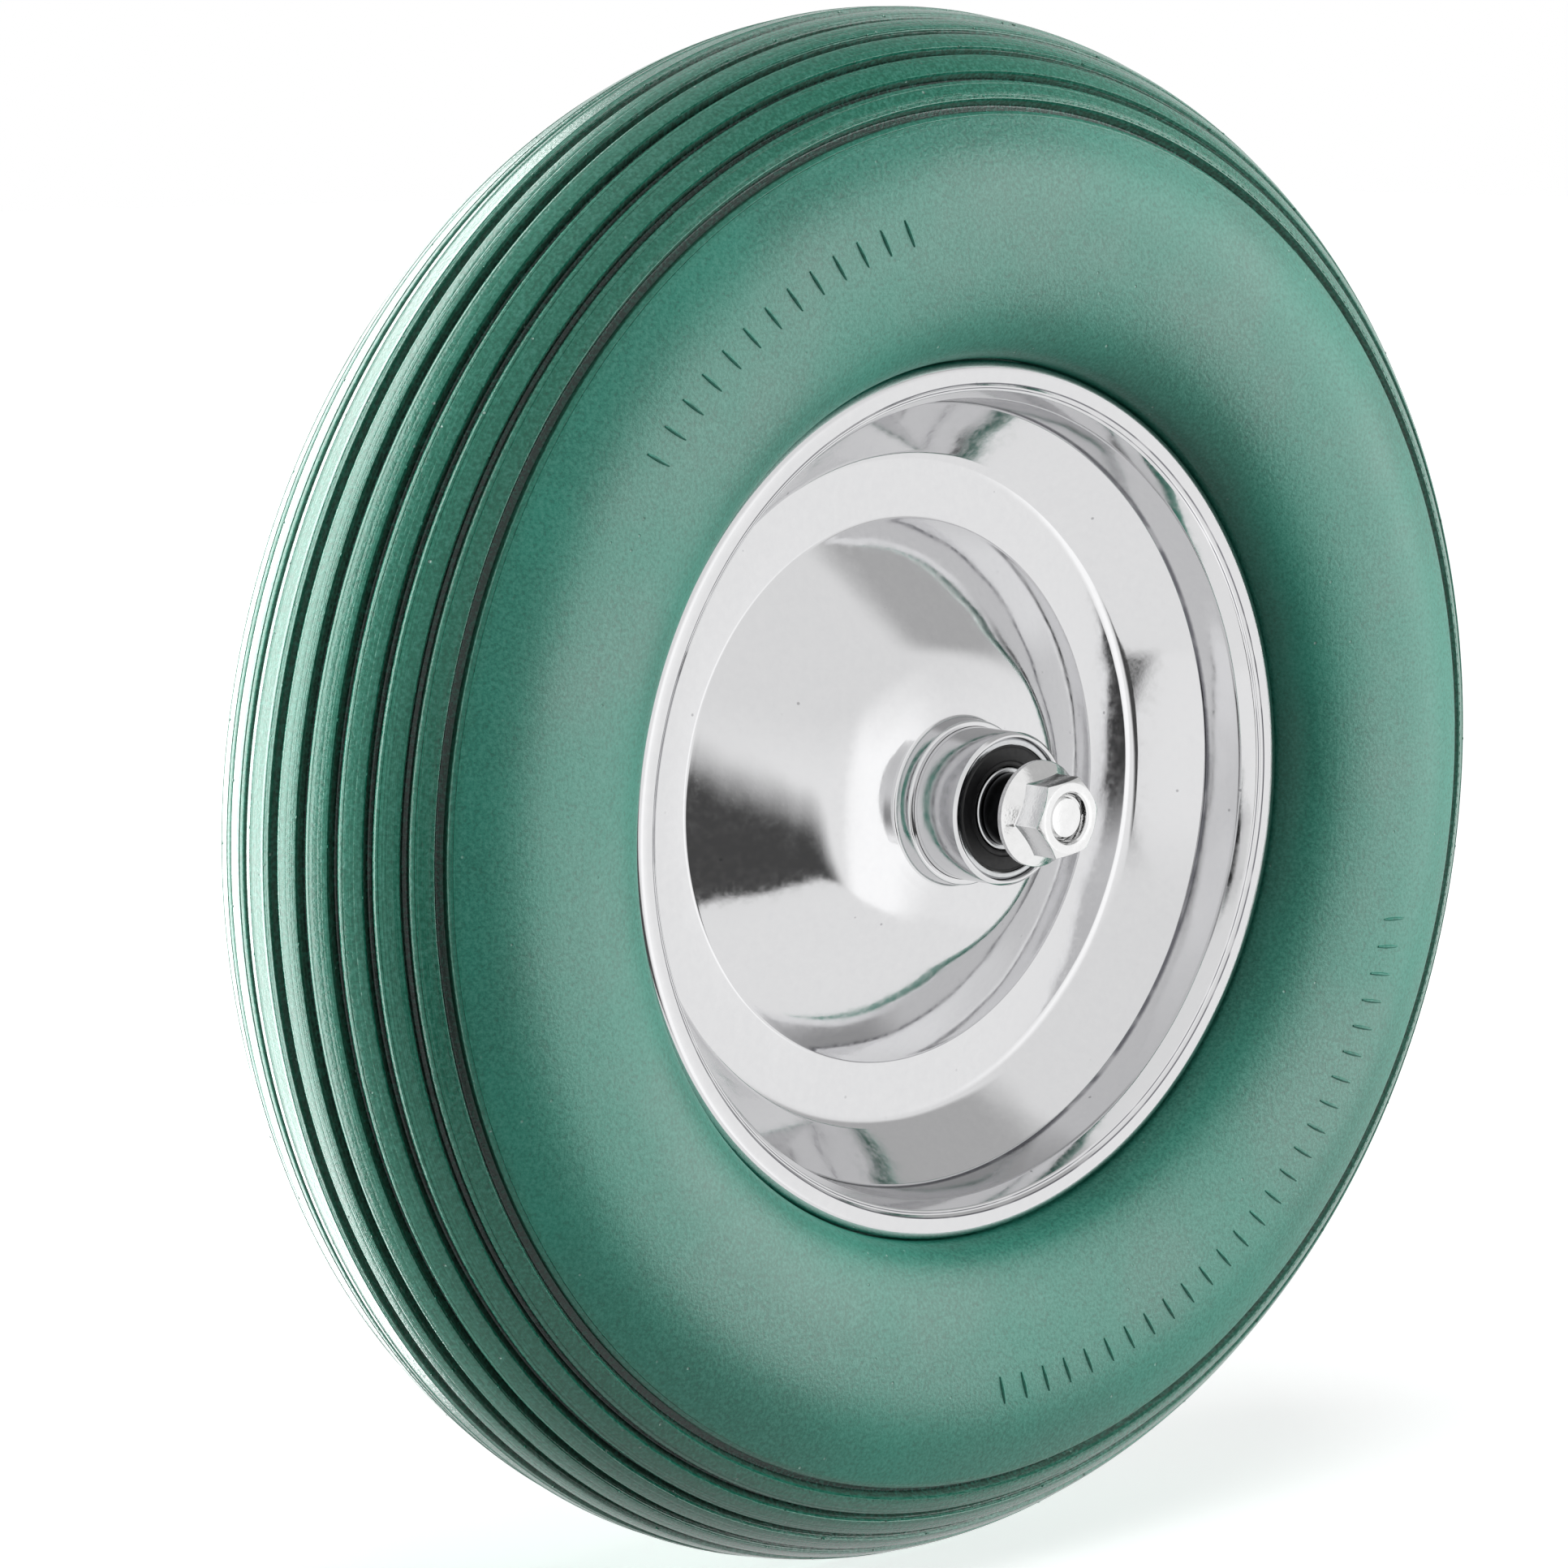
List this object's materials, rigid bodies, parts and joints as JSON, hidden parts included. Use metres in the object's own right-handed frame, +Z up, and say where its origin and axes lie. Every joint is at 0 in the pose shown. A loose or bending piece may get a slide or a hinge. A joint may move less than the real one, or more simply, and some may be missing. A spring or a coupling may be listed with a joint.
{
  "type": "wheelbarrow wheel",
  "caption": "Solid foam-filled wheelbarrow wheel: ribbed green tyre, dished plated steel rim and a ball-bearing hub on a through bolt with a flange nut.",
  "frame": {"origin": "the wheel's centre: on the axle's line, on the tyre's mid-plane", "axes": "+Y along the axle from the nut to the bolt's head, +Z up, +X across the wheel"},
  "size_m": [0.39, 0.1302, 0.39],
  "materials": {
    "foam_tyre": "matt moulded foam skin, darker and glossier on the tread's ribs",
    "plated_rim": "bright plated sheet steel with fine specks along the flange",
    "zinc_fastener": "bright zinc",
    "dark_spacer": "dark oiled steel",
    "bearing_steel": "ground bright",
    "cage_steel": "pressed, dull",
    "rubber_seal": "satin black"
  },
  "bodies": {
    "axle": {"axle_bolt": "zinc_fastener", "flange_nut": "zinc_fastener", "spacer_head_side": "dark_spacer", "spacer_nut_side": "dark_spacer", "distance_tube": "dark_spacer", "bearing_head_side_inner_ring": "bearing_steel", "bearing_nut_side_inner_ring": "bearing_steel"},
    "wheel": {"tyre": "foam_tyre", "rim_half_head_side": "plated_rim", "rim_half_nut_side": "plated_rim", "hub_tube": "plated_rim", "bearing_head_side_outer_ring": "bearing_steel", "bearing_head_side_outer_seal": "rubber_seal", "bearing_head_side_inner_seal": "rubber_seal", "bearing_nut_side_outer_ring": "bearing_steel", "bearing_nut_side_outer_seal": "rubber_seal", "bearing_nut_side_inner_seal": "rubber_seal"},
    "cage_head_side": {"bearing_head_side_cage": "cage_steel", "bearing_head_side_ball_1": "bearing_steel", "bearing_head_side_ball_2": "bearing_steel", "bearing_head_side_ball_3": "bearing_steel", "bearing_head_side_ball_4": "bearing_steel", "bearing_head_side_ball_5": "bearing_steel", "bearing_head_side_ball_6": "bearing_steel", "bearing_head_side_ball_7": "bearing_steel", "bearing_head_side_ball_8": "bearing_steel"},
    "cage_nut_side": {"bearing_nut_side_cage": "cage_steel", "bearing_nut_side_ball_1": "bearing_steel", "bearing_nut_side_ball_2": "bearing_steel", "bearing_nut_side_ball_3": "bearing_steel", "bearing_nut_side_ball_4": "bearing_steel", "bearing_nut_side_ball_5": "bearing_steel", "bearing_nut_side_ball_6": "bearing_steel", "bearing_nut_side_ball_7": "bearing_steel", "bearing_nut_side_ball_8": "bearing_steel"}
  },
  "joints": [
    {"name": "wheel_spin", "type": "hinge", "parent": "axle", "child": "wheel", "pos_m": [0, 0, 0], "axis": [0, 1, 0], "continuous": true},
    {"name": "cage_head_side_spin", "type": "hinge", "parent": "axle", "child": "cage_head_side", "pos_m": [0, 0.038, 0], "axis": [0, 1, 0], "continuous": true},
    {"name": "cage_nut_side_spin", "type": "hinge", "parent": "axle", "child": "cage_nut_side", "pos_m": [0, -0.038, 0], "axis": [0, 1, 0], "continuous": true}
  ],
  "couplings": [
    {"joint": "cage_head_side_spin", "follows": "wheel_spin", "ratio": 0.6191},
    {"joint": "cage_nut_side_spin", "follows": "wheel_spin", "ratio": 0.6191}
  ]
}
